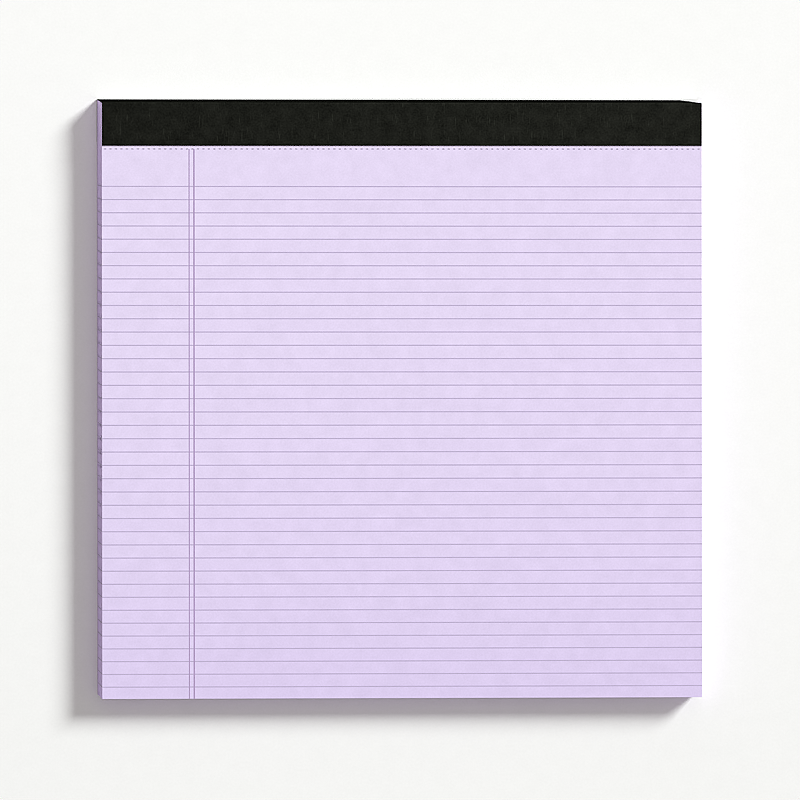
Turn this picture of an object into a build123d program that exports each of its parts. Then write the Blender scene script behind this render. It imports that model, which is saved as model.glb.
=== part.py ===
from build123d import *
from math import pi, sin
import os

# Ruled writing pad, bound across its head, lying on its back with the first sheet up.
# X runs across the pad, +Y points to the bound head and +Z out of the first sheet.
# The origin is below the middle of the pad, on the surface that it lies on.
# The pile leans a little, so its lower sheets sit nearer to the head than the first one.

# Pad
pad_width = 215.9
face_height = 207.0
sheet_count = 50
sheet_pitch = 0.12
board_thickness = 0.9
head_lean = 1.25
foot_lean = 1.6

# Slanted cut at the right end of the head
head_cut_length = 6.1
head_cut_depth = 0.95

# Binding tape
tape_thickness = 0.2
front_flap = 15.0
back_flap = 15.0

# Perforation, its row measured from the tape's lower edge
perforation_gap = 1.07
perforation_pitch = 1.96
slit_length = 0.85
slit_width = 0.2

# Ruling, its first line measured from the head's front edge. The lines fill the sheet down to a
# least gap at the foot, and those in the middle drift a little towards it from an even pitch.
first_rule = 29.1
rule_pitch = 4.574
least_foot_gap = 3.5
rule_drift = 0.95
rule_width = 0.25
first_rule_lean = 0.5
last_rule_lean = 1.6
ink_depth = 0.05

# Margin lines, measured from the pad's left edge
margin_inset = 31.3
margin_spacing = 1.75
outer_margin_width = 0.3
inner_margin_width = 0.4

# Wire staples under the tape
staple_count = 3
staple_spacing = 72.0
staple_inset = 7.5
staple_crown = 12.0
clinch_length = 4.0
wire_width = 0.6
wire_thickness = 0.4
wire_bend = 0.6
wire_clearance = 0.03

# Heights and depths that follow from them
stack_thickness = sheet_count * sheet_pitch
stack_top = board_thickness + stack_thickness
pad_top = stack_top + tape_thickness
half_width = pad_width / 2
half_length = (face_height + head_lean) / 2
head_front = half_length - head_lean
head_back = half_length
foot_front = -half_length
front_flap_edge = head_front - front_flap
back_flap_edge = head_back - back_flap
perforation_y = front_flap_edge - perforation_gap
rule_count = 1 + int((face_height - first_rule - least_foot_gap) / rule_pitch)


def head_at(height):
    """Y of the tape's outer face at a height."""
    return head_front + head_lean * (pad_top - height) / pad_top


def foot_at(height):
    """Y of the foot edge at a height."""
    return foot_front + foot_lean * (stack_top - height) / stack_top


def block_profile(low, high, head_inset, foot_inset=0.0):
    """Corners of the leaning block between two heights, for Plane.YZ."""
    return (
        (foot_at(low) + foot_inset, low),
        (head_at(low) - head_inset, low),
        (head_at(high) - head_inset, high),
        (foot_at(high) + foot_inset, high),
    )


def head_cut_outline(inset):
    """Plan of what the slanted cut takes off the head's right end, for Plane.XY."""
    reach = 2 * head_cut_length
    slope = head_cut_depth / head_cut_length
    cut_start = half_width - head_cut_length
    return (
        (cut_start - reach, head_back - inset + reach * slope),
        (cut_start + reach, head_back - inset - reach * slope),
        (cut_start + reach, head_back + reach),
        (cut_start - reach, head_back + reach),
    )


def staple_path(y):
    """Centre line of one staple: a crown on the first sheet, two legs and their clinched ends."""
    clinch_z = tape_thickness + wire_thickness / 2
    crown_z = stack_top - wire_thickness / 2
    corner_x = staple_crown / 2
    end_x = corner_x - clinch_length
    FilletPolyline(
        (-end_x, y, clinch_z),
        (-corner_x, y, clinch_z),
        (-corner_x, y, crown_z),
        (corner_x, y, crown_z),
        (corner_x, y, clinch_z),
        (end_x, y, clinch_z),
        radius=wire_bend,
    )


def wire_plane(line):
    """Plane across the start of a staple's centre line, with its x along the pad's length."""
    return Plane(line @ 0, x_dir=(0, 1, 0), z_dir=line % 0)


# The slanted cut, as the tape's outer face and as the block under the tape have it
with BuildPart() as tape_cut:
    with BuildSketch(Plane.XY):
        Polygon(*head_cut_outline(0), align=None)
    extrude(amount=pad_top)

with BuildPart() as block_cut:
    with BuildSketch(Plane.XY):
        Polygon(*head_cut_outline(tape_thickness), align=None)
    extrude(amount=pad_top)

# One staple of flat wire and the channel that it lies in
staple_y = head_front - staple_inset
with BuildPart() as one_staple:
    with BuildLine() as wire_line:
        staple_path(staple_y)
    with BuildSketch(wire_plane(wire_line.line)):
        Rectangle(wire_width, wire_thickness)
    sweep()

with BuildPart() as one_channel:
    with BuildLine() as channel_line:
        staple_path(staple_y)
    with BuildSketch(wire_plane(channel_line.line)):
        Rectangle(wire_width + 2 * wire_clearance, wire_thickness + 2 * wire_clearance)
    sweep()
    end_faces = one_channel.faces().filter_by(Axis.X).sort_by(SortBy.AREA)[:2]
    extrude(end_faces, amount=wire_clearance)

with BuildPart() as staples:
    with GridLocations(staple_spacing, 0, staple_count, 1):
        add(one_staple.part)

with BuildPart() as staple_channels:
    with GridLocations(staple_spacing, 0, staple_count, 1):
        add(one_channel.part)

# Perforation slits, which follow the lean of the pile
lean_way = Vector(0, head_lean, -pad_top).normalized()
slit_count = int(pad_width / perforation_pitch)
slit_reach = 2 * tape_thickness
slit_top = Vector(0, perforation_y, stack_top) - lean_way * slit_reach
slit_run = (stack_thickness + slit_reach) * Vector(0, head_lean, pad_top).length / pad_top
with BuildPart() as slits:
    with BuildSketch(Plane(slit_top)):
        with GridLocations(perforation_pitch, 0, slit_count, 1):
            Rectangle(slit_length, slit_width)
    extrude(amount=slit_run, dir=lean_way)

# Ruled lines: each is a thin band across the first sheet that turns down both sides of the pile
with BuildPart() as ruling:
    for number in range(rule_count):
        share = number / (rule_count - 1)
        drift = rule_drift * sin(pi * share**2)
        rule_y = head_front - first_rule - rule_pitch * number - drift
        lean = first_rule_lean + (last_rule_lean - first_rule_lean) * share
        with BuildSketch(Plane.YZ.offset(-half_width)):
            Polygon(
                (rule_y - rule_width / 2, stack_top),
                (rule_y + rule_width / 2, stack_top),
                (rule_y + rule_width / 2 + lean, board_thickness),
                (rule_y - rule_width / 2 + lean, board_thickness),
                align=None,
            )
        extrude(amount=pad_width)

with BuildPart() as ruled_lines:
    add(ruling.part)
    with BuildSketch(Plane.YZ.offset(-half_width + ink_depth)):
        Polygon(*block_profile(0, stack_top - ink_depth, 0), align=None)
    extrude(amount=pad_width - 2 * ink_depth, mode=Mode.SUBTRACT)

# Margin lines: two bands down the first sheet that turn down the foot
with BuildPart() as margin_lines:
    outer_x = -half_width + margin_inset
    for line_x, line_width in (
        (outer_x, outer_margin_width),
        (outer_x + margin_spacing, inner_margin_width),
    ):
        with BuildSketch(Plane.YZ.offset(line_x - line_width / 2)):
            Polygon(*block_profile(board_thickness, stack_top, front_flap), align=None)
        extrude(amount=line_width)
    with BuildSketch(Plane.YZ.offset(-half_width)):
        Polygon(*block_profile(0, stack_top - ink_depth, -ink_depth, ink_depth), align=None)
    extrude(amount=pad_width, mode=Mode.SUBTRACT)
    add(ruled_lines.part, mode=Mode.SUBTRACT)
    add(slits.part, mode=Mode.SUBTRACT)

# Pile of perforated sheets, cut as one block
with BuildPart() as paper_stack:
    with BuildSketch(Plane.YZ.offset(-half_width)):
        Polygon(*block_profile(board_thickness, stack_top, tape_thickness), align=None)
    extrude(amount=pad_width)
    add(block_cut.part, mode=Mode.SUBTRACT)
    add(slits.part, mode=Mode.SUBTRACT)
    add(staple_channels.part, mode=Mode.SUBTRACT)
    add(ruled_lines.part, mode=Mode.SUBTRACT)
    add(margin_lines.part, mode=Mode.SUBTRACT)

# Chipboard back, pressed in under the tape so that the pad's back is flat
with BuildPart() as chipboard_back:
    with BuildSketch(Plane.YZ.offset(-half_width)):
        Polygon(*block_profile(0, board_thickness, tape_thickness), align=None)
    extrude(amount=pad_width)
    add(block_cut.part, mode=Mode.SUBTRACT)
    with BuildSketch(Plane.XY):
        with Locations((0, back_flap_edge)):
            Rectangle(pad_width, 2 * back_flap, align=(Align.CENTER, Align.MIN))
    extrude(amount=tape_thickness, mode=Mode.SUBTRACT)
    add(staple_channels.part, mode=Mode.SUBTRACT)

# What the tape goes round: the head of the pile and of the board
with BuildPart() as wrapped_head:
    with BuildSketch(Plane.YZ.offset(-half_width)):
        Polygon(*block_profile(tape_thickness, stack_top, tape_thickness), align=None)
    extrude(amount=pad_width)
    add(block_cut.part, mode=Mode.SUBTRACT)

# Binding tape: one strip folded over the head, with a flap on the first sheet and one on the back
with BuildPart() as binding_tape:
    with BuildSketch(Plane.YZ.offset(-half_width)):
        Polygon(
            (front_flap_edge, pad_top / 2),
            (front_flap_edge, pad_top),
            (head_front, pad_top),
            (head_back, 0),
            (back_flap_edge, 0),
            (back_flap_edge, pad_top / 2),
            align=None,
        )
        fillet(vertices().sort_by(Axis.X)[-2:], tape_thickness)
    extrude(amount=pad_width)
    add(tape_cut.part, mode=Mode.SUBTRACT)
    add(wrapped_head.part, mode=Mode.SUBTRACT)

os.makedirs("parts", exist_ok=True)
for name, piece in (
    ("paper_stack", paper_stack),
    ("chipboard_back", chipboard_back),
    ("binding_tape", binding_tape),
    ("staples", staples),
    ("ruled_lines", ruled_lines),
    ("margin_lines", margin_lines),
):
    piece.part.label = name
    export_step(piece.part, f"parts/{name}.step")
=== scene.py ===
import math

import bmesh
import bpy
from bpy.props import FloatProperty, FloatVectorProperty, IntProperty, PointerProperty
from bpy.types import NodeSocket, Operator, Panel, PropertyGroup
from mathutils import Matrix, Vector


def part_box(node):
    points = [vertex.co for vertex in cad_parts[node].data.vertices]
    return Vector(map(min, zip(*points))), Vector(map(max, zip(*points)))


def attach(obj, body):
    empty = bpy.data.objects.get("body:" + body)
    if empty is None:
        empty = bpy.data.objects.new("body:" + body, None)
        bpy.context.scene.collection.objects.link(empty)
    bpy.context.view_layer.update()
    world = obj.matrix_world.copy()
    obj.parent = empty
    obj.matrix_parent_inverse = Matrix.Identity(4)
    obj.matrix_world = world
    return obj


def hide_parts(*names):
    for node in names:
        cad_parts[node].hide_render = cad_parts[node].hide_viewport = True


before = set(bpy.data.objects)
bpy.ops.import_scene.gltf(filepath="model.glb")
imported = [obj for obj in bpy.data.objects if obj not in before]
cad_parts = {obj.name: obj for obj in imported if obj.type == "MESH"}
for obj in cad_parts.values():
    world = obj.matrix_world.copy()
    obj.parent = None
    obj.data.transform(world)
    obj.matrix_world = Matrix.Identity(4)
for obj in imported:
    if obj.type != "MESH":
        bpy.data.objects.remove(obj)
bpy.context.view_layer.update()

bl_info = {
    "name": "Writing Pad",
    "version": (1, 0, 0),
    "blender": (4, 5, 0),
    "location": "View3D > Sidebar > Writing Pad",
    "description": "Makes a ruled writing pad with perforated sheets, a binding tape and a board",
    "category": "Add Mesh",
}

BODY = "root"
MM = 0.001

# Steps that the slanted cut and the tape are drawn in
CUT_STEPS = 12
FLAP_STEPS = 14
FOLD_STEPS = 6
SPINE_STEPS = 8
TAPE_STATIONS = 60

# The margin ink stands higher than the ruled lines that it crosses
MARGIN_OVER_RULES = 1.5
# A slit's cutter is this many times as deep as the sheet
CUTTER_DEPTH = 4.0

# Studio, lengths in metres
FLOOR_HALF = 12.0
CAMERA_REACH = 100.0
CARD_GAP = 0.5 * MM
CARD_RISE = 0.9
WALL_BRIGHTNESS = 0.93
SCREEN_GAMMA = 2.2

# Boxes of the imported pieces, and the heights and edges that follow from them
PILE_LOW, PILE_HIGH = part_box("paper_stack")
TAPE_LOW, TAPE_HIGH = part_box("binding_tape")
BOARD_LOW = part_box("chipboard_back")[0]
PAD_RIGHT = PILE_HIGH[0]
PAD_WIDTH = PILE_HIGH[0] - PILE_LOW[0]
PILE_TOP = PILE_HIGH[2]
PILE_DEPTH = PILE_HIGH[2] - PILE_LOW[2]
PAD_TOP = TAPE_HIGH[2]
FOOT_AT_TOP = PILE_LOW[1]
FOOT_AT_BOARD = BOARD_LOW[1]
HEAD_AT_BOARD = PILE_HIGH[1]
FLAP_EDGE = TAPE_LOW[1]


def length(name, description, millimetres):
    """A property that holds a length."""
    return FloatProperty(
        name=name,
        description=description,
        default=millimetres * MM,
        precision=6,
        unit="LENGTH",
    )


def colour(name, description, shown):
    """A property that holds a colour, its default given as the screen shows it, from 0 to 255."""
    linear = [((c / 255 + 0.055) / 1.055) ** 2.4 if c > 10 else c / 255 / 12.92 for c in shown]
    return FloatVectorProperty(
        name=name,
        description=description,
        default=linear,
        size=3,
        min=0.0,
        max=1.0,
        subtype="COLOR",
    )


class PadSizes(PropertyGroup):
    """Sizes of the pad's pieces that the frame's boxes don't give."""

    sheet_count: IntProperty(name="Sheets", description="Number of sheets", default=50, min=2)
    sheet_gap: length("Sheet Gap", "Air between two sheets", 0.012)
    sheet_stray: length("Sheet Stray", "How far a sheet may lie off the pile's side", 0.03)
    head_lean: length("Head Lean", "How far the head leans back over the whole thickness", 1.25)
    head_cut_length: length("Head Cut Length", "Length of the slanted cut at the head", 6.1)
    head_cut_depth: length("Head Cut Depth", "Depth of the slanted cut at the pad's side", 0.95)
    tape_thickness: length("Tape Thickness", "Thickness of the binding tape", 0.2)
    flap: length("Flap", "Length of each flap of the tape, from the fold", 15.0)
    fold_radius: length("Fold Radius", "Outer radius of the tape's folds", 0.3)
    binding_skew: length("Binding Skew", "How far tape edge and perforation rise to the right", 0.2)
    perforation_gap: length("Perforation Gap", "From the tape's edge to the perforation", 1.14)
    slit_pitch: length("Slit Pitch", "From one slit of the perforation to the next", 1.96)
    slit_length: length("Slit Length", "Length of one slit", 0.8)
    slit_width: length("Slit Width", "Width of one slit", 0.21)
    rule_count: IntProperty(name="Rules", description="Number of ruled lines", default=39, min=2)
    first_rule: length("First Rule", "From the head's front edge to the first line", 29.1)
    rule_pitch: length("Rule Pitch", "From one ruled line to the next", 4.574)
    rule_drift: length("Rule Drift", "How far the middle lines stray from an even pitch", 0.95)
    rule_width: length("Rule Width", "Width of a ruled line", 0.39)
    first_rule_lean: length("First Rule Lean", "Lean of the first line down the side", 0.5)
    last_rule_lean: length("Last Rule Lean", "Lean of the last line down the side", 1.6)
    margin_inset: length("Margin Inset", "From the left edge to the outer margin line", 31.26)
    margin_spacing: length("Margin Spacing", "Between the two margin lines", 1.75)
    outer_margin: length("Outer Margin Line", "Width of the outer margin line", 0.33)
    inner_margin: length("Inner Margin Line", "Width of the inner margin line", 0.48)
    ink_proud: length("Ink Height", "How far the ink stands on the paper", 0.012)
    ink_sunk: length("Ink Depth", "How far the ink soaks into the paper", 0.04)


class PadColours(PropertyGroup):
    """Colours of the finishes and of the light."""

    paper: colour("Paper", "Lilac writing paper", (230, 217, 245))
    # Painted shade: the paper turns to this darker lilac towards the foot, as the light falls off.
    paper_foot_shade: colour("Paper Foot", "The paper's deeper lilac at the foot", (221, 206, 240))
    paper_edge: colour("Paper Edge", "The sheets' cut edges", (233, 212, 255))
    rule_ink: colour("Rule Ink", "Ink of the ruled lines", (196, 182, 214))
    margin_ink: colour("Margin Ink", "Ink of the margin lines", (181, 158, 199))
    tape: colour("Tape", "Black binding tape", (30, 31, 27))
    board: colour("Board", "Lilac grey chipboard", (208, 191, 221))
    wire: colour("Wire", "Staple wire", (190, 190, 192))
    floor: colour("Floor", "Pale floor behind the pad", (252, 252, 250))
    # Painted shade: the floor turns to this darker colour towards the front, as the light falls
    # off.
    floor_front_shade: colour("Floor Near", "Pale floor before the pad", (246, 246, 244))
    key: colour("Key", "Light of the key", (251, 255, 254))
    fill: colour("Fill", "Light from all round", (255, 250, 251))


class StudioSettings(PropertyGroup):
    """Camera and light."""

    lens: FloatProperty(name="Lens", description="Focal length in mm", default=1550.0)
    tilt: FloatProperty(
        name="Camera Tilt",
        description="How far the camera stands to the left of straight above",
        default=math.radians(14.9),
        subtype="ANGLE",
    )
    roll: FloatProperty(
        name="Camera Roll",
        description="Turn of the camera about its view",
        default=math.radians(-0.042),
        subtype="ANGLE",
    )
    frame_width: length("Frame Width", "Width that the camera sees at the pad", 278.25)
    aim_x: length("Aim X", "Point on the first sheet in the middle of the view", -0.96)
    aim_y: length("Aim Y", "Point on the first sheet in the middle of the view", -0.45)
    key_direction: FloatVectorProperty(
        name="Key Direction",
        description="Direction from the pad to the key light",
        default=(0.786, 0.572, 0.466),
        subtype="DIRECTION",
    )
    key_angle: FloatProperty(
        name="Key Angle",
        description="Apparent size of the key light",
        default=math.radians(19.0),
        subtype="ANGLE",
    )
    key_share: FloatProperty(
        name="Key Share", description="The key's part of the floor's light", default=0.59
    )
    fill: FloatProperty(name="Fill", description="Light from all round", default=0.43)
    card: FloatProperty(name="Card", description="Brightness of the card at the head", default=0.5)
    crispness: FloatProperty(
        name="Crispness", description="Sharpening of the picture", default=0.38, subtype="FACTOR"
    )


# Node trees


def pick(sockets, key):
    """The socket at a number, or the one in use of that name."""
    if isinstance(key, int):
        return sockets[key]
    return next(s for s in sockets if s.name == key and s.enabled)


def put(tree, kind, inputs=None, **settings):
    """Add a node with its settings and inputs. An input that is given as a socket is linked."""
    made = tree.nodes.new(kind)
    for key, value in settings.items():
        setattr(made, key, value)
    for key, value in (inputs or {}).items():
        target = pick(made.inputs, key)
        if isinstance(value, NodeSocket):
            tree.links.new(value, target)
        else:
            target.default_value = value
    return made


def maths(tree, operation, *values):
    """Output of a Math node on numbers or sockets."""
    return put(tree, "ShaderNodeMath", dict(enumerate(values)), operation=operation).outputs[0]


def vector(tree, x=0.0, y=0.0, z=0.0):
    """Output of a Combine XYZ node."""
    return put(tree, "ShaderNodeCombineXYZ", {"X": x, "Y": y, "Z": z}).outputs[0]


def new_tree(name, kind, inputs, outputs):
    """An empty node group, its input sockets by name and its output node."""
    tree = bpy.data.node_groups.new(name, kind)
    for label, (socket, default) in inputs.items():
        made = tree.interface.new_socket(label, in_out="INPUT", socket_type=f"NodeSocket{socket}")
        if default is not None:
            made.default_value = default
    for label, socket in outputs.items():
        tree.interface.new_socket(label, in_out="OUTPUT", socket_type=f"NodeSocket{socket}")
    given = tree.nodes.new("NodeGroupInput").outputs
    return tree, {label: given[label] for label in inputs}, tree.nodes.new("NodeGroupOutput")


def close_shape(tree, out, geometry, material):
    """End a geometry tree with real geometry and its material."""
    real = put(tree, "GeometryNodeRealizeInstances", {"Geometry": geometry})
    done = put(tree, "GeometryNodeSetMaterial", {"Geometry": real.outputs[0], "Material": material})
    tree.links.new(done.outputs[0], out.inputs[0])


def grown(name, mesh, tree, values):
    """The plain mesh that a geometry tree makes from a mesh."""
    seed = bpy.data.objects.new(name, mesh)
    bpy.context.collection.objects.link(seed)
    modifier = seed.modifiers.new("Shape", "NODES")
    modifier.node_group = tree
    for item in tree.interface.items_tree:
        if item.item_type == "SOCKET" and item.in_out == "INPUT" and item.name in values:
            modifier[item.identifier] = values[item.name]
    depsgraph = bpy.context.evaluated_depsgraph_get()
    made = bpy.data.meshes.new_from_object(
        seed.evaluated_get(depsgraph), preserve_all_data_layers=True, depsgraph=depsgraph
    )
    seed.modifiers.remove(modifier)
    bpy.data.objects.remove(seed)
    made.name = name
    return made


def place(name, mesh, slot, *nodes):
    """Put a finished mesh in the scene for the CAD nodes that it stands for."""
    piece = bpy.data.objects.new(name, mesh)
    bpy.context.collection.objects.link(piece)
    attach(piece, BODY)
    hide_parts(*nodes)
    return piece


# Meshes


def prism(name, outline, low, high, axis):
    """A closed prism of a flat outline, from low to high along axis 0, 1 or 2."""
    shape = bmesh.new()

    def corner(point, along):
        spot = list(point)
        spot.insert(axis, along)
        return shape.verts.new(spot)

    ends = [[corner(point, along) for point in outline] for along in (low, high)]
    shape.faces.new(ends[0])
    shape.faces.new(ends[1])
    count = len(outline)
    for i in range(count):
        j = (i + 1) % count
        shape.faces.new((ends[0][i], ends[0][j], ends[1][j], ends[1][i]))
    bmesh.ops.recalc_face_normals(shape, faces=shape.faces)
    mesh = bpy.data.meshes.new(name)
    shape.to_mesh(mesh)
    shape.free()
    return mesh


def head_lean_rate(sizes):
    """How far the head leans back for each unit of depth."""
    return sizes.head_lean / PAD_TOP


def head_at_top(sizes):
    """Y of the first sheet's head edge."""
    return HEAD_AT_BOARD - head_lean_rate(sizes) * PILE_DEPTH


def cut_slope(sizes):
    """Slope of the slanted cut, along Y for each unit of X."""
    return sizes.head_cut_depth / sizes.head_cut_length


def skew_slope(sizes):
    """Slope of the tape's front edge and of the perforation, along Y for each unit of X."""
    return sizes.binding_skew / PAD_WIDTH


def cut_at_side(sizes, inset):
    """Y of the slanted cut at the pad's right side, moved in from the tape's outer face."""
    head_back = FLAP_EDGE + sizes.flap + sizes.head_lean
    return head_back - sizes.head_cut_depth - inset


def sheet_mesh(sizes, thickness, row):
    """One sheet with no slits, its head edge at y 0, its upper face at z 0 and a strip at row."""
    half = PAD_WIDTH / 2 - sizes.sheet_stray - sizes.ink_proud
    cut = sizes.head_cut_length
    head = [(half - cut * i / CUT_STEPS, 0.0) for i in range(CUT_STEPS + 1)]
    foot = FOOT_AT_TOP + sizes.ink_proud - head_at_top(sizes)
    outline = [(half, foot), *head, (-half, 0.0), (-half, foot)]
    mesh = prism("sheet", outline, -thickness, 0.0, 2)
    shape = bmesh.new()
    shape.from_mesh(mesh)
    reach = sizes.slit_width + sizes.binding_skew / 2
    for y in (row - reach, row + reach):
        geometry = [*shape.verts, *shape.edges, *shape.faces]
        bmesh.ops.bisect_plane(shape, geom=geometry, plane_co=(0, y, 0), plane_no=(0, 1, 0))
    shape.to_mesh(mesh)
    shape.free()
    return mesh


def band_mesh(sizes):
    """Ink of one ruled line: across the sheet at z 0 and down both sides of the pile."""
    out, sunk = sizes.ink_proud, sizes.ink_sunk
    half = PAD_WIDTH / 2
    inner = half - out - 2 * sizes.sheet_stray - sunk
    outline = [
        (-half, -PILE_DEPTH),
        (-half, out),
        (half, out),
        (half, -PILE_DEPTH),
        (inner, -PILE_DEPTH),
        (inner, -sunk),
        (-inner, -sunk),
        (-inner, -PILE_DEPTH),
    ]
    return prism("band", outline, -sizes.rule_width / 2, sizes.rule_width / 2, 1)


# Geometry trees


def perforated_sheet_tree():
    """A sheet with a row of slits cut through it."""
    tree, given, out = new_tree(
        "Perforated Sheet",
        "GeometryNodeTree",
        {
            "Sheet": ("Geometry", None),
            "Slits": ("Int", 110),
            "Slit Pitch": ("Float", 0.002),
            "Slit Length": ("Float", 0.001),
            "Slit Width": ("Float", 0.0002),
            "Row": ("Float", 0.0),
            "Row Slope": ("Float", 0.0),
            "Thickness": ("Float", 0.0001),
            "Material": ("Material", None),
        },
        {"Sheet": "Geometry"},
    )
    intervals = maths(tree, "SUBTRACT", given["Slits"], 1.0)
    reach = maths(tree, "MULTIPLY", intervals, given["Slit Pitch"])
    half_back = maths(tree, "MULTIPLY", reach, -0.5)
    first_y = maths(tree, "MULTIPLY_ADD", half_back, given["Row Slope"], given["Row"])
    rise = maths(tree, "MULTIPLY", given["Slit Pitch"], given["Row Slope"])
    row = put(
        tree,
        "GeometryNodeMeshLine",
        {
            "Count": given["Slits"],
            "Start Location": vector(tree, x=half_back, y=first_y),
            "Offset": vector(tree, x=given["Slit Pitch"], y=rise),
        },
        mode="OFFSET",
    )
    depth = maths(tree, "MULTIPLY", given["Thickness"], CUTTER_DEPTH)
    size = vector(tree, given["Slit Length"], given["Slit Width"], depth)
    cutter = put(tree, "GeometryNodeMeshCube", {"Size": size})
    cutters = put(
        tree,
        "GeometryNodeInstanceOnPoints",
        {"Points": row.outputs[0], "Instance": cutter.outputs[0]},
    )
    cut = put(
        tree,
        "GeometryNodeMeshBoolean",
        {"Mesh 1": given["Sheet"], "Mesh 2": cutters.outputs[0]},
        operation="DIFFERENCE",
        solver="EXACT",
    )
    close_shape(tree, out, cut.outputs[0], given["Material"])
    return tree


def pile_tree():
    """A leaning pile of copies of one sheet, each a little off its place."""
    tree, given, out = new_tree(
        "Pile of Sheets",
        "GeometryNodeTree",
        {
            "Sheet": ("Geometry", None),
            "Sheets": ("Int", 50),
            "Top": ("Vector", (0.0, 0.0, 0.0)),
            "Pitch": ("Float", 0.0001),
            "Lean": ("Float", 0.001),
            "Shrink": ("Float", 0.0),
            "Stray": ("Float", 0.0),
            "Cut Slope": ("Float", 0.0),
            "Cut At Side": ("Float", 0.0),
            "Side": ("Float", 0.0),
            "Seed": ("Int", 3),
            "Material": ("Material", None),
        },
        {"Pile": "Geometry"},
    )
    last = maths(tree, "SUBTRACT", given["Sheets"], 1.0)
    lean_step = maths(tree, "DIVIDE", given["Lean"], last)
    down = maths(tree, "MULTIPLY", given["Pitch"], -1.0)
    spots = put(
        tree,
        "GeometryNodeMeshLine",
        {
            "Count": given["Sheets"],
            "Start Location": given["Top"],
            "Offset": vector(tree, y=lean_step, z=down),
        },
        mode="OFFSET",
    )
    index = put(tree, "GeometryNodeInputIndex").outputs[0]
    share = maths(tree, "DIVIDE", index, last)
    shrunk = maths(tree, "MULTIPLY_ADD", share, maths(tree, "MULTIPLY", given["Shrink"], -1.0), 1.0)
    sheets = put(
        tree,
        "GeometryNodeInstanceOnPoints",
        {
            "Points": spots.outputs[0],
            "Instance": given["Sheet"],
            "Scale": vector(tree, 1.0, shrunk, 1.0),
        },
    ).outputs[0]
    below_first = maths(tree, "MINIMUM", index, 1.0)
    random_step = put(
        tree,
        "FunctionNodeRandomValue",
        {"Min": (-1.0, -1.0, 0.0), "Max": (1.0, 1.0, 0.0), "ID": index, "Seed": given["Seed"]},
        data_type="FLOAT_VECTOR",
    )
    stray = maths(tree, "MULTIPLY", given["Stray"], below_first)
    step = put(
        tree,
        "ShaderNodeVectorMath",
        {0: random_step.outputs[0], "Scale": stray},
        operation="SCALE",
    )
    sheets = put(
        tree,
        "GeometryNodeTranslateInstances",
        {"Instances": sheets, "Translation": step.outputs[0]},
    ).outputs[0]
    tone = put(
        tree,
        "FunctionNodeRandomValue",
        {"Min": -1.0, "Max": 1.0, "ID": index, "Seed": maths(tree, "ADD", given["Seed"], 1.0)},
        data_type="FLOAT",
    )
    sheets = put(
        tree,
        "GeometryNodeStoreNamedAttribute",
        {
            "Geometry": sheets,
            "Name": "sheet_tone",
            "Value": maths(tree, "MULTIPLY", pick(tone.outputs, "Value"), below_first),
        },
        data_type="FLOAT",
        domain="INSTANCE",
    ).outputs[0]
    sheets = put(tree, "GeometryNodeRealizeInstances", {"Geometry": sheets}).outputs[0]
    position = put(tree, "GeometryNodeInputPosition").outputs[0]
    split = put(tree, "ShaderNodeSeparateXYZ", {"Vector": position}).outputs
    from_side = maths(tree, "SUBTRACT", given["Side"], split["X"])
    cut_y = maths(tree, "MULTIPLY_ADD", from_side, given["Cut Slope"], given["Cut At Side"])
    kept = vector(tree, split["X"], maths(tree, "MINIMUM", split["Y"], cut_y), split["Z"])
    trimmed = put(tree, "GeometryNodeSetPosition", {"Geometry": sheets, "Position": kept})
    close_shape(tree, out, trimmed.outputs[0], given["Material"])
    return tree


def ruling_tree():
    """A row of bands of ink whose ends lean down the sides of the pile."""
    tree, given, out = new_tree(
        "Ruling",
        "GeometryNodeTree",
        {
            "Band": ("Geometry", None),
            "Rules": ("Int", 39),
            "First": ("Float", 0.0),
            "Pitch": ("Float", 0.005),
            "Drift": ("Float", 0.0),
            "First Lean": ("Float", 0.0),
            "Last Lean": ("Float", 0.0),
            "Top": ("Float", 0.0),
            "Depth": ("Float", 0.006),
            "Material": ("Material", None),
        },
        {"Ruling": "Geometry"},
    )
    spots = put(
        tree,
        "GeometryNodeMeshLine",
        {
            "Count": given["Rules"],
            "Start Location": vector(tree, y=given["First"]),
            "Offset": vector(tree, y=maths(tree, "MULTIPLY", given["Pitch"], -1.0)),
        },
        mode="OFFSET",
    ).outputs[0]
    index = put(tree, "GeometryNodeInputIndex").outputs[0]
    share = maths(tree, "DIVIDE", index, maths(tree, "SUBTRACT", given["Rules"], 1.0))
    spots = put(
        tree,
        "GeometryNodeStoreNamedAttribute",
        {"Geometry": spots, "Name": "share", "Value": share},
        data_type="FLOAT",
        domain="POINT",
    ).outputs[0]
    wave = maths(tree, "SINE", maths(tree, "MULTIPLY", maths(tree, "POWER", share, 2.0), math.pi))
    drift = maths(tree, "MULTIPLY", wave, maths(tree, "MULTIPLY", given["Drift"], -1.0))
    spots = put(
        tree,
        "GeometryNodeSetPosition",
        {"Geometry": spots, "Offset": vector(tree, y=drift, z=given["Top"])},
    ).outputs[0]
    bands = put(tree, "GeometryNodeInstanceOnPoints", {"Points": spots, "Instance": given["Band"]})
    real = put(tree, "GeometryNodeRealizeInstances", {"Geometry": bands.outputs[0]}).outputs[0]
    position = put(tree, "GeometryNodeInputPosition").outputs[0]
    height = put(tree, "ShaderNodeSeparateXYZ", {"Vector": position}).outputs["Z"]
    below = maths(tree, "MAXIMUM", maths(tree, "SUBTRACT", given["Top"], height), 0.0)
    deep = maths(tree, "DIVIDE", below, given["Depth"])
    stored = put(tree, "GeometryNodeInputNamedAttribute", {"Name": "share"}, data_type="FLOAT")
    growth = maths(tree, "SUBTRACT", given["Last Lean"], given["First Lean"])
    lean = maths(
        tree, "MULTIPLY_ADD", pick(stored.outputs, "Attribute"), growth, given["First Lean"]
    )
    leaning = put(
        tree,
        "GeometryNodeSetPosition",
        {"Geometry": real, "Offset": vector(tree, y=maths(tree, "MULTIPLY", lean, deep))},
    )
    close_shape(tree, out, leaning.outputs[0], given["Material"])
    return tree


# Finishes


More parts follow.
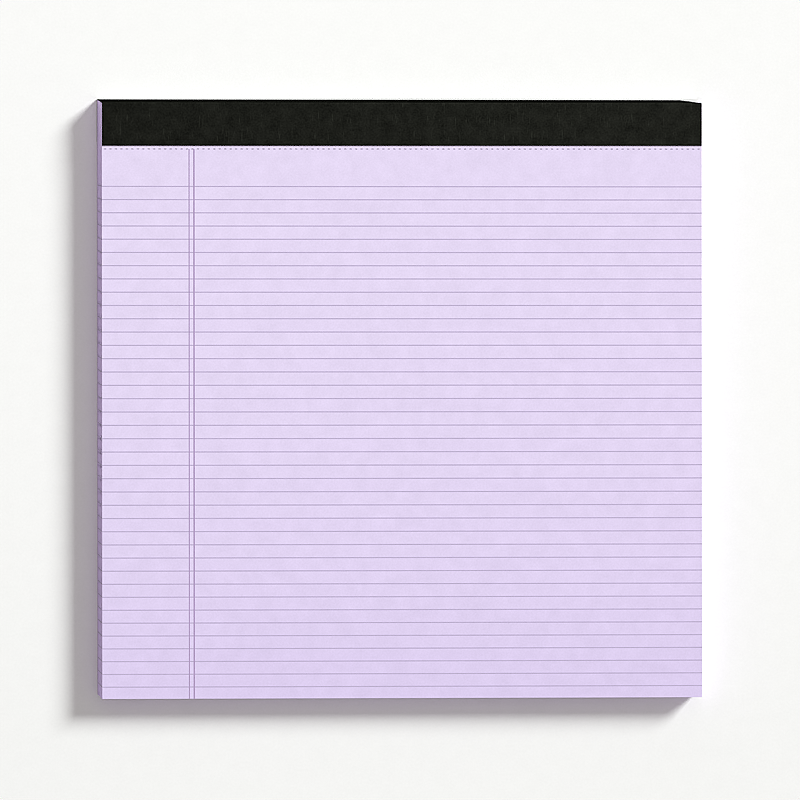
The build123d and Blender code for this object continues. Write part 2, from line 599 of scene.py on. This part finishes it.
def pulp_group():
    """Grain of pressed pulp: fine fibres and soft clouds, as a tone near 1 and a height."""
    if "Pulp Grain" in bpy.data.node_groups:
        return bpy.data.node_groups["Pulp Grain"]
    tree, given, out = new_tree(
        "Pulp Grain",
        "ShaderNodeTree",
        {
            "Fibre Size": ("Float", 0.0004),
            "Fibre Strength": ("Float", 0.03),
            "Cloud Size": ("Float", 0.008),
            "Cloud Strength": ("Float", 0.02),
        },
        {"Tone": "Float", "Height": "Float"},
    )
    place_of = put(tree, "ShaderNodeTexCoord").outputs["Object"]
    fibre = put(
        tree,
        "ShaderNodeTexNoise",
        {
            "Vector": place_of,
            "Scale": maths(tree, "DIVIDE", 1.0, given["Fibre Size"]),
            "Detail": 3.0,
            "Roughness": 0.6,
        },
    ).outputs[0]
    cloud = put(
        tree,
        "ShaderNodeTexNoise",
        {
            "Vector": place_of,
            "Scale": maths(tree, "DIVIDE", 1.0, given["Cloud Size"]),
            "Detail": 2.0,
        },
    ).outputs[0]
    fine = maths(tree, "MULTIPLY", maths(tree, "SUBTRACT", fibre, 0.5), given["Fibre Strength"])
    soft = maths(tree, "MULTIPLY", maths(tree, "SUBTRACT", cloud, 0.5), given["Cloud Strength"])
    tone = maths(tree, "ADD", maths(tree, "ADD", fine, soft), 1.0)
    tree.links.new(tone, out.inputs["Tone"])
    tree.links.new(fibre, out.inputs["Height"])
    return tree


def edge_group():
    """Mask that is 1 on faces that look sideways, such as the cut edges of sheets."""
    if "Side Faces" in bpy.data.node_groups:
        return bpy.data.node_groups["Side Faces"]
    tree, given, out = new_tree(
        "Side Faces", "ShaderNodeTree", {"Steepness": ("Float", 0.5)}, {"Mask": "Float"}
    )
    facing = put(tree, "ShaderNodeTexCoord").outputs["Normal"]
    upward = put(tree, "ShaderNodeSeparateXYZ", {"Vector": facing}).outputs["Z"]
    mask = maths(tree, "LESS_THAN", maths(tree, "ABSOLUTE", upward), given["Steepness"])
    tree.links.new(mask, out.inputs["Mask"])
    return tree


def new_finish(name, roughness, specular):
    """A material with an empty look: its tree and its shader."""
    material = bpy.data.materials.new(name)
    material.use_nodes = True
    tree = material.node_tree
    shader = tree.nodes["Principled BSDF"]
    shader.inputs["Roughness"].default_value = roughness
    shader.inputs["Specular IOR Level"].default_value = specular
    return material, tree, shader


def blend(tree, share, first, second, blend_type="MIX"):
    """Two colours, each given as three numbers or as a socket, blended by a share."""

    def filled(value):
        return value if isinstance(value, NodeSocket) else (*value, 1.0)

    made = put(
        tree,
        "ShaderNodeMix",
        {"Factor": share, "A": filled(first), "B": filled(second)},
        data_type="RGBA",
        blend_type=blend_type,
    )
    return pick(made.outputs, "Result")


def along(tree, axis, start, end):
    """Share from 0 to 1 of the way from start to end along an object's axis."""
    place_of = put(tree, "ShaderNodeTexCoord").outputs["Object"]
    spot = put(tree, "ShaderNodeSeparateXYZ", {"Vector": place_of}).outputs[axis]
    ramp = put(tree, "ShaderNodeMapRange", {"Value": spot, "From Min": start, "From Max": end})
    return ramp.outputs[0]


def side_faces(tree):
    """Mask of the faces that look sideways."""
    return put(tree, "ShaderNodeGroup", node_tree=edge_group()).outputs["Mask"]


def toned(tree, base, tone):
    """A colour multiplied by a tone."""
    return blend(tree, 1.0, base, tone, "MULTIPLY")


def bumped(tree, shader, height, distance, strength=1.0):
    """Give the shader a bump from a height."""
    bump = put(
        tree,
        "ShaderNodeBump",
        {"Height": height, "Distance": distance, "Strength": strength},
    )
    tree.links.new(bump.outputs[0], shader.inputs["Normal"])


def pulp(tree, fibre_size, fibre_strength, cloud_size, cloud_strength):
    """The pulp grain's outputs at given sizes."""
    return put(
        tree,
        "ShaderNodeGroup",
        {
            "Fibre Size": fibre_size,
            "Fibre Strength": fibre_strength,
            "Cloud Size": cloud_size,
            "Cloud Strength": cloud_strength,
        },
        node_tree=pulp_group(),
    ).outputs


def paper_finish(colours):
    """Lilac writing paper with painted shade: face and cut edges darker towards the foot, as the
    light falls off. The cut edges have their own colour, and each sheet has its own tone.
    """
    material, tree, shader = new_finish("lilac_paper", roughness=0.85, specular=0.05)
    edge_shade_rate, sheet_change, foot_shade_onset = 0.1, 0.05, 2.5
    grain = pulp(
        tree, fibre_size=0.7 * MM, fibre_strength=0.14, cloud_size=5 * MM, cloud_strength=0.13
    )
    # Painted shade: the face turns to the darker foot colour towards the foot, as the light falls
    # off.
    down = along(tree, "Y", HEAD_AT_BOARD, FOOT_AT_TOP)
    foot_shade_share = maths(tree, "POWER", down, foot_shade_onset)
    face = blend(tree, foot_shade_share, colours.paper, colours.paper_foot_shade)
    # Painted shade: the cut edges darken towards the foot as well.
    edge_shade = maths(tree, "MULTIPLY_ADD", down, -edge_shade_rate, 1.0)
    base = blend(tree, side_faces(tree), face, toned(tree, colours.paper_edge, edge_shade))
    sheet = put(tree, "ShaderNodeAttribute", attribute_name="sheet_tone").outputs["Fac"]
    own = maths(tree, "MULTIPLY_ADD", sheet, sheet_change, 1.0)
    tone = maths(tree, "MULTIPLY", grain["Tone"], own)
    tree.links.new(toned(tree, base, tone), shader.inputs["Base Color"])
    bumped(tree, shader, grain["Height"], distance=0.01 * MM, strength=0.5)
    return material


def ink_finish(name, base):
    """Thin ruling ink that the paper's grain shows through."""
    material, tree, shader = new_finish(name, roughness=0.8, specular=0.05)
    grain = pulp(
        tree, fibre_size=0.9 * MM, fibre_strength=0.16, cloud_size=6 * MM, cloud_strength=0.12
    )
    tree.links.new(toned(tree, base, grain["Tone"]), shader.inputs["Base Color"])
    bumped(tree, shader, grain["Height"], distance=0.01 * MM, strength=0.5)
    return material


def board_finish(base):
    """Chipboard: coarse pulp with dark and pale flecks."""
    material, tree, shader = new_finish("chipboard", roughness=0.9, specular=0.1)
    fleck_size, dark_above, pale_below = 1.3 * MM, 0.66, 0.34
    dark_change, pale_change = -0.35, 0.25
    grain = pulp(
        tree, fibre_size=0.6 * MM, fibre_strength=0.35, cloud_size=9 * MM, cloud_strength=0.2
    )
    place_of = put(tree, "ShaderNodeTexCoord").outputs["Object"]
    flecks = put(
        tree,
        "ShaderNodeTexNoise",
        {"Vector": place_of, "Scale": 1 / fleck_size, "Detail": 4.0, "Roughness": 0.7},
    ).outputs[0]
    dark = maths(tree, "MULTIPLY", maths(tree, "GREATER_THAN", flecks, dark_above), dark_change)
    pale = maths(tree, "MULTIPLY", maths(tree, "LESS_THAN", flecks, pale_below), pale_change)
    tone = maths(tree, "ADD", grain["Tone"], maths(tree, "ADD", dark, pale))
    tree.links.new(toned(tree, base, tone), shader.inputs["Base Color"])
    bumped(tree, shader, grain["Height"], distance=0.05 * MM, strength=0.8)
    return material


def tape_finish(base):
    """Black binding tape: grain, clouds, short pale scuffs, painted shade on the spine and ends,
    paler to the right.
    """
    material, tree, shader = new_finish("binding_tape", roughness=0.7, specular=0.0)
    scuff_scale = (2.5 / MM, 0.18 / MM, 1 / MM)
    scuff_from, scuff_full = 0.66, 0.76
    sideways_shade_change, left_tone, rise_to_right = -0.65, 0.88, 0.24
    place_of = put(tree, "ShaderNodeTexCoord").outputs["Object"]
    grain = pulp(
        tree, fibre_size=0.7 * MM, fibre_strength=1.4, cloud_size=4 * MM, cloud_strength=1.1
    )
    stretched = put(
        tree, "ShaderNodeMapping", {"Vector": place_of, "Scale": scuff_scale}
    ).outputs[0]
    streak = put(
        tree, "ShaderNodeTexNoise", {"Vector": stretched, "Scale": 1.0, "Detail": 1.0}
    ).outputs[0]
    scuff = put(
        tree,
        "ShaderNodeMapRange",
        {"Value": streak, "From Min": scuff_from, "From Max": scuff_full},
    ).outputs[0]
    # Painted shade: the spine and the ends, which look sideways, are darkened.
    sideways_shade = maths(tree, "MULTIPLY_ADD", side_faces(tree), sideways_shade_change, 1.0)
    to_right = along(tree, "X", PILE_LOW[0], PAD_RIGHT)
    # The tape is darker at the left and paler towards the right.
    rightward_tone = maths(tree, "MULTIPLY_ADD", to_right, rise_to_right, left_tone)
    scuffed_rightward_tone = maths(tree, "MULTIPLY", maths(tree, "ADD", grain["Tone"], scuff), rightward_tone)
    tone = maths(tree, "MULTIPLY", scuffed_rightward_tone, sideways_shade)
    tree.links.new(toned(tree, base, tone), shader.inputs["Base Color"])
    height = maths(tree, "ADD", grain["Height"], scuff)
    bumped(tree, shader, height, distance=0.03 * MM, strength=0.8)
    return material


def wire_finish(base):
    """Drawn steel wire with fine lines along it."""
    material, tree, shader = new_finish("staple_wire", roughness=0.35, specular=0.5)
    drawn_scale = (0.1 / MM, 12 / MM, 12 / MM)
    darkest, line_change = 0.9, 0.2
    shader.inputs["Metallic"].default_value = 1.0
    place_of = put(tree, "ShaderNodeTexCoord").outputs["Object"]
    drawn = put(
        tree, "ShaderNodeMapping", {"Vector": place_of, "Scale": drawn_scale}
    ).outputs[0]
    lines = put(tree, "ShaderNodeTexNoise", {"Vector": drawn, "Scale": 1.0}).outputs[0]
    tone = maths(tree, "MULTIPLY_ADD", lines, line_change, darkest)
    tree.links.new(toned(tree, base, tone), shader.inputs["Base Color"])
    bumped(tree, shader, lines, distance=0.01 * MM, strength=0.4)
    return material


def floor_finish(colours):
    """Smooth pale studio floor with painted shade: a little darker towards the front, past the
    pad's foot, and at the left, as the light falls off.
    """
    material, tree, shader = new_finish("studio_floor", roughness=0.9, specular=0.0)
    behind, before, onset = 0.12, -0.12, 1.6
    left_from, left_full, left_shade_change = -0.05, -0.14, -0.013
    grain = pulp(
        tree, fibre_size=0.9 * MM, fibre_strength=0.06, cloud_size=6 * MM, cloud_strength=0.035
    )
    # Painted shade: darker towards the front and at the left, as the light falls off.
    front_shade_share = maths(tree, "POWER", along(tree, "Y", behind, before), onset)
    base = blend(tree, front_shade_share, colours.floor, colours.floor_front_shade)
    left_shade_share = along(tree, "X", left_from, left_full)
    tone = maths(tree, "MULTIPLY_ADD", left_shade_share, left_shade_change, grain["Tone"])
    tree.links.new(toned(tree, base, tone), shader.inputs["Base Color"])
    return material


# Tape


def tape_section(sizes, x):
    """Outer and inner path of the tape's section at x, as (y, z), with the front flap first."""
    thickness, radius = sizes.tape_thickness, sizes.fold_radius
    slope = head_lean_rate(sizes)
    head_front = FLAP_EDGE + sizes.flap
    back_edge = head_front + sizes.head_lean - sizes.flap
    from_side = PAD_RIGHT - x
    outer, inner = [], []

    def add(depth, inset, inner_depth):
        for path, extra, at in ((outer, 0.0, depth), (inner, thickness, inner_depth)):
            limit = cut_at_side(sizes, extra) + from_side * cut_slope(sizes)
            y = head_front + slope * depth - extra
            path.append((min(y, limit) - inset, PAD_TOP - at))

    edge = FLAP_EDGE + skew_slope(sizes) * (x - PILE_LOW[0])
    for i in range(FLAP_STEPS):
        share = i / FLAP_STEPS
        y = edge + (head_front - radius - edge) * share
        outer.append((y, PAD_TOP))
        inner.append((y, PAD_TOP - thickness))
    for i in range(FOLD_STEPS + 1):
        turn = math.pi / 2 * i / FOLD_STEPS
        depth = radius * (1 - math.cos(turn))
        add(depth, radius * (1 - math.sin(turn)), depth + thickness)
    for i in range(1, SPINE_STEPS):
        depth = radius + (PAD_TOP - 2 * radius) * i / SPINE_STEPS
        add(depth, 0.0, depth)
    for i in range(FOLD_STEPS + 1):
        turn = math.pi / 2 * i / FOLD_STEPS
        depth = PAD_TOP - radius * (1 - math.sin(turn))
        add(depth, radius * (1 - math.cos(turn)), depth - thickness)
    for i in range(1, FLAP_STEPS + 1):
        share = i / FLAP_STEPS
        y = head_front + sizes.head_lean - radius
        y += (back_edge - y) * share
        outer.append((y, 0.0))
        inner.append((y, thickness))
    return outer, inner


def tape_mesh(sizes):
    """The folded strip, in narrow sections from the left end to the right one."""
    shape = bmesh.new()
    even = [PILE_LOW[0] + PAD_WIDTH * i / TAPE_STATIONS for i in range(TAPE_STATIONS + 1)]
    cut_start = PAD_RIGHT - sizes.head_cut_length
    stations = sorted({*even, cut_start})
    rings = []
    for x in stations:
        outer, inner = tape_section(sizes, x)
        path = outer + inner[::-1]
        rings.append([shape.verts.new((x, y, z)) for y, z in path])
    count = len(rings[0])
    for first, second in zip(rings, rings[1:]):
        for i in range(count):
            j = (i + 1) % count
            shape.faces.new((first[i], first[j], second[j], second[i]))
    half = count // 2
    for ring in (rings[0], rings[-1]):
        for i in range(half - 1):
            shape.faces.new((ring[i], ring[i + 1], ring[count - 2 - i], ring[count - 1 - i]))
    bmesh.ops.recalc_face_normals(shape, faces=shape.faces)
    mesh = bpy.data.meshes.new("binding_tape")
    shape.to_mesh(mesh)
    shape.free()
    return mesh


# Operators


class WRITING_PAD_OT_sheets(Operator):
    """Make the leaning pile of perforated sheets"""

    bl_idname = "writing_pad.sheets"
    bl_label = "Make Sheets"

    def execute(self, context):
        sizes, colours = context.scene.pad_sizes, context.scene.pad_colours
        paper = paper_finish(colours)
        pitch = PILE_DEPTH / sizes.sheet_count
        thickness = pitch - sizes.sheet_gap
        head = head_at_top(sizes)
        row = FLAP_EDGE + sizes.binding_skew / 2 - sizes.perforation_gap - head
        perforated = grown(
            "perforated_sheet",
            sheet_mesh(sizes, thickness, row),
            perforated_sheet_tree(),
            {
                "Slits": int(PAD_WIDTH / sizes.slit_pitch),
                "Slit Pitch": sizes.slit_pitch,
                "Slit Length": sizes.slit_length,
                "Slit Width": sizes.slit_width,
                "Row": row,
                "Row Slope": skew_slope(sizes),
                "Thickness": thickness,
                "Material": paper,
            },
        )
        longest = head - FOOT_AT_TOP
        shortest = HEAD_AT_BOARD - FOOT_AT_BOARD
        pile = grown(
            "sheets",
            perforated,
            pile_tree(),
            {
                "Sheets": sizes.sheet_count,
                "Top": (0.0, head, PILE_TOP),
                "Pitch": pitch,
                "Lean": HEAD_AT_BOARD - head,
                "Shrink": 1 - shortest / longest,
                "Stray": sizes.sheet_stray,
                "Cut Slope": cut_slope(sizes),
                "Cut At Side": cut_at_side(sizes, sizes.tape_thickness),
                "Side": PAD_RIGHT,
                "Material": paper,
            },
        )
        place("sheets", pile, "lilac_paper", "paper_stack")
        return {"FINISHED"}


class WRITING_PAD_OT_ruled_lines(Operator):
    """Make the ink of the ruled lines"""

    bl_idname = "writing_pad.ruled_lines"
    bl_label = "Make Ruled Lines"

    def execute(self, context):
        sizes, colours = context.scene.pad_sizes, context.scene.pad_colours
        ruling = grown(
            "ruling",
            band_mesh(sizes),
            ruling_tree(),
            {
                "Rules": sizes.rule_count,
                "First": FLAP_EDGE + sizes.flap - sizes.first_rule,
                "Pitch": sizes.rule_pitch,
                "Drift": sizes.rule_drift,
                "First Lean": sizes.first_rule_lean,
                "Last Lean": sizes.last_rule_lean,
                "Top": PILE_TOP,
                "Depth": PILE_DEPTH,
                "Material": ink_finish("ruling_ink", colours.rule_ink),
            },
        )
        place("ruling", ruling, "ruling_ink", "ruled_lines")
        return {"FINISHED"}


class WRITING_PAD_OT_margin_lines(Operator):
    """Make the ink of the two margin lines"""

    bl_idname = "writing_pad.margin_lines"
    bl_label = "Make Margin Lines"

    def execute(self, context):
        sizes, colours = context.scene.pad_sizes, context.scene.pad_colours
        ink = ink_finish("margin_ink", colours.margin_ink)
        out = MARGIN_OVER_RULES * sizes.ink_proud
        sunk, stray = sizes.ink_sunk, sizes.sheet_stray
        head = FLAP_EDGE - sizes.perforation_gap
        outline = [
            (head, PILE_TOP + out),
            (FOOT_AT_TOP, PILE_TOP + out),
            (FOOT_AT_BOARD - stray, PILE_LOW[2]),
            (FOOT_AT_BOARD + stray + sunk, PILE_LOW[2]),
            (FOOT_AT_TOP + stray + sunk, PILE_TOP - sunk),
            (head, PILE_TOP - sunk),
        ]
        shape = bmesh.new()
        left = PILE_LOW[0] + sizes.margin_inset
        for middle, width in (
            (left, sizes.outer_margin),
            (left + sizes.margin_spacing, sizes.inner_margin),
        ):
            shape.from_mesh(prism("line", outline, middle - width / 2, middle + width / 2, 0))
        mesh = bpy.data.meshes.new("margin")
        shape.to_mesh(mesh)
        shape.free()
        mesh.materials.append(ink)
        place("margin", mesh, "margin_ink", "margin_lines")
        return {"FINISHED"}


class WRITING_PAD_OT_tape(Operator):
    """Make the binding tape that is folded over the head"""

    bl_idname = "writing_pad.tape"
    bl_label = "Make Tape"

    def execute(self, context):
        sizes, colours = context.scene.pad_sizes, context.scene.pad_colours
        mesh = tape_mesh(sizes)
        mesh.materials.append(tape_finish(colours.tape))
        place("tape", mesh, "binding_tape", "binding_tape")
        return {"FINISHED"}


class WRITING_PAD_OT_board(Operator):
    """Give the board its chipboard finish"""

    bl_idname = "writing_pad.board"
    bl_label = "Finish Board"

    def execute(self, context):
        dress("chipboard_back", board_finish(context.scene.pad_colours.board))
        return {"FINISHED"}


class WRITING_PAD_OT_staples(Operator):
    """Give the staples their steel finish"""

    bl_idname = "writing_pad.staples"
    bl_label = "Finish Staples"

    def execute(self, context):
        dress("staples", wire_finish(context.scene.pad_colours.wire))
        return {"FINISHED"}


def dress(node, material):
    """Put a material on a CAD node."""
    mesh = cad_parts[node].data
    mesh.materials.clear()
    mesh.materials.append(material)


class WRITING_PAD_OT_stage(Operator):
    """Make the floor, the light and the camera"""

    bl_idname = "writing_pad.stage"
    bl_label = "Make Stage"

    def execute(self, context):
        scene = context.scene
        studio, colours = scene.pad_studio, scene.pad_colours
        scene.view_settings.view_transform = "Standard"
        half = FLOOR_HALF
        floor_mesh = bpy.data.meshes.new("floor")
        corners = [(-half, -half, 0.0), (half, -half, 0.0), (half, half, 0.0), (-half, half, 0.0)]
        floor_mesh.from_pydata(corners, [], [(0, 1, 2, 3)])
        floor_mesh.materials.append(floor_finish(colours))
        floor = bpy.data.objects.new("floor", floor_mesh)
        scene.collection.objects.link(floor)
        self.add_camera(scene, studio)
        self.add_key(scene, studio, colours)
        self.add_card(scene, studio)
        self.add_fill(scene, studio, colours)
        self.add_crispness(scene, studio)
        return {"FINISHED"}

    def add_camera(self, scene, studio):
        """Long lens that looks straight down but for a tilt, so that the left side shows."""
        data = bpy.data.cameras.new("camera")
        data.lens = studio.lens
        data.clip_end = CAMERA_REACH
        distance = studio.frame_width / data.sensor_width * studio.lens
        turn = Matrix.Rotation(-studio.tilt, 3, "Y") @ Matrix.Rotation(studio.roll, 3, "Z")
        camera = bpy.data.objects.new("camera", data)
        camera.location = Vector((studio.aim_x, studio.aim_y, PILE_TOP)) + turn.col[2] * distance
        camera.rotation_euler = turn.to_euler()
        scene.collection.objects.link(camera)
        scene.camera = camera

    def add_key(self, scene, studio, colours):
        """Distant soft light from the upper right, in watts per square metre of floor."""
        towards = Vector(studio.key_direction).normalized()
        data = bpy.data.lights.new("key", "SUN")
        data.angle = studio.key_angle
        data.energy = studio.key_share * math.pi / towards.z
        data.color = colours.key
        key = bpy.data.objects.new("key", data)
        key.location = towards
        key.rotation_euler = towards.to_track_quat("Z", "Y").to_euler()
        scene.collection.objects.link(key)

    def add_card(self, scene, studio):
        """Bright card that stands along the head and lights the floor behind it."""
        height = CARD_RISE * PAD_TOP
        data = bpy.data.lights.new("card", "AREA")
        data.shape = "RECTANGLE"
        data.size = PAD_WIDTH
        data.size_y = height
        data.energy = studio.card * math.pi * data.size * data.size_y
        card = bpy.data.objects.new("card", data)
        card.location = (0.0, TAPE_HIGH[1] + CARD_GAP, height / 2)
        card.rotation_euler = (math.radians(90), 0.0, 0.0)
        card.visible_camera = False
        scene.collection.objects.link(card)

    def add_fill(self, scene, studio, colours):
        """Even light from all round, which the camera sees as a pale wall."""
        world = bpy.data.worlds.new("studio")
        world.use_nodes = True
        tree = world.node_tree
        background = tree.nodes["Background"]
        background.inputs["Color"].default_value = (*colours.fill, 1.0)
        seen = put(tree, "ShaderNodeLightPath").outputs["Is Camera Ray"]
        extra = WALL_BRIGHTNESS - studio.fill
        strength = maths(tree, "MULTIPLY_ADD", seen, extra, studio.fill)
        tree.links.new(strength, background.inputs["Strength"])
        scene.world = world

    def add_crispness(self, scene, studio):
        """Sharpen the finished picture a little, as a camera does."""
        scene.use_nodes = True
        tree = scene.node_tree
        tree.nodes.clear()
        picture = put(tree, "CompositorNodeRLayers").outputs["Image"]
        shown = put(tree, "CompositorNodeGamma", {"Image": picture, "Gamma": 1 / SCREEN_GAMMA})
        crisp = put(
            tree,
            "CompositorNodeFilter",
            {"Fac": studio.crispness, "Image": shown.outputs[0]},
            filter_type="SHARPEN_DIAMOND",
        )
        linear = put(
            tree, "CompositorNodeGamma", {"Image": crisp.outputs[0], "Gamma": SCREEN_GAMMA}
        )
        put(tree, "CompositorNodeComposite", {"Image": linear.outputs[0]})


class WRITING_PAD_PT_panel(Panel):
    """Lists what makes the pad"""

    bl_idname = "WRITING_PAD_PT_panel"
    bl_label = "Writing Pad"
    bl_space_type = "VIEW_3D"
    bl_region_type = "UI"
    bl_category = "Writing Pad"

    def draw(self, context):
        for group in ("pad_sizes", "pad_colours", "pad_studio"):
            values = getattr(context.scene, group)
            box = self.layout.box()
            for key in values.__annotations__:
                box.prop(values, key)
        for step in STEPS:
            self.layout.operator(step.bl_idname)


STEPS = (
    WRITING_PAD_OT_stage,
    WRITING_PAD_OT_sheets,
    WRITING_PAD_OT_ruled_lines,
    WRITING_PAD_OT_margin_lines,
    WRITING_PAD_OT_tape,
    WRITING_PAD_OT_board,
    WRITING_PAD_OT_staples,
)
GROUPS = {"pad_sizes": PadSizes, "pad_colours": PadColours, "pad_studio": StudioSettings}
CLASSES = (*GROUPS.values(), *STEPS, WRITING_PAD_PT_panel)


def register():
    """Add the classes and the settings to Blender."""
    for made in CLASSES:
        bpy.utils.register_class(made)
    for name, group in GROUPS.items():
        setattr(bpy.types.Scene, name, PointerProperty(type=group))


def unregister():
    """Take the settings and the classes away again."""
    for name in GROUPS:
        delattr(bpy.types.Scene, name)
    for made in reversed(CLASSES):
        bpy.utils.unregister_class(made)


def main():
    """Make the whole pad."""
    register()
    for step in STEPS:
        group, name = step.bl_idname.split(".")
        getattr(getattr(bpy.ops, group), name)()


if __name__ == "__main__":
    main()
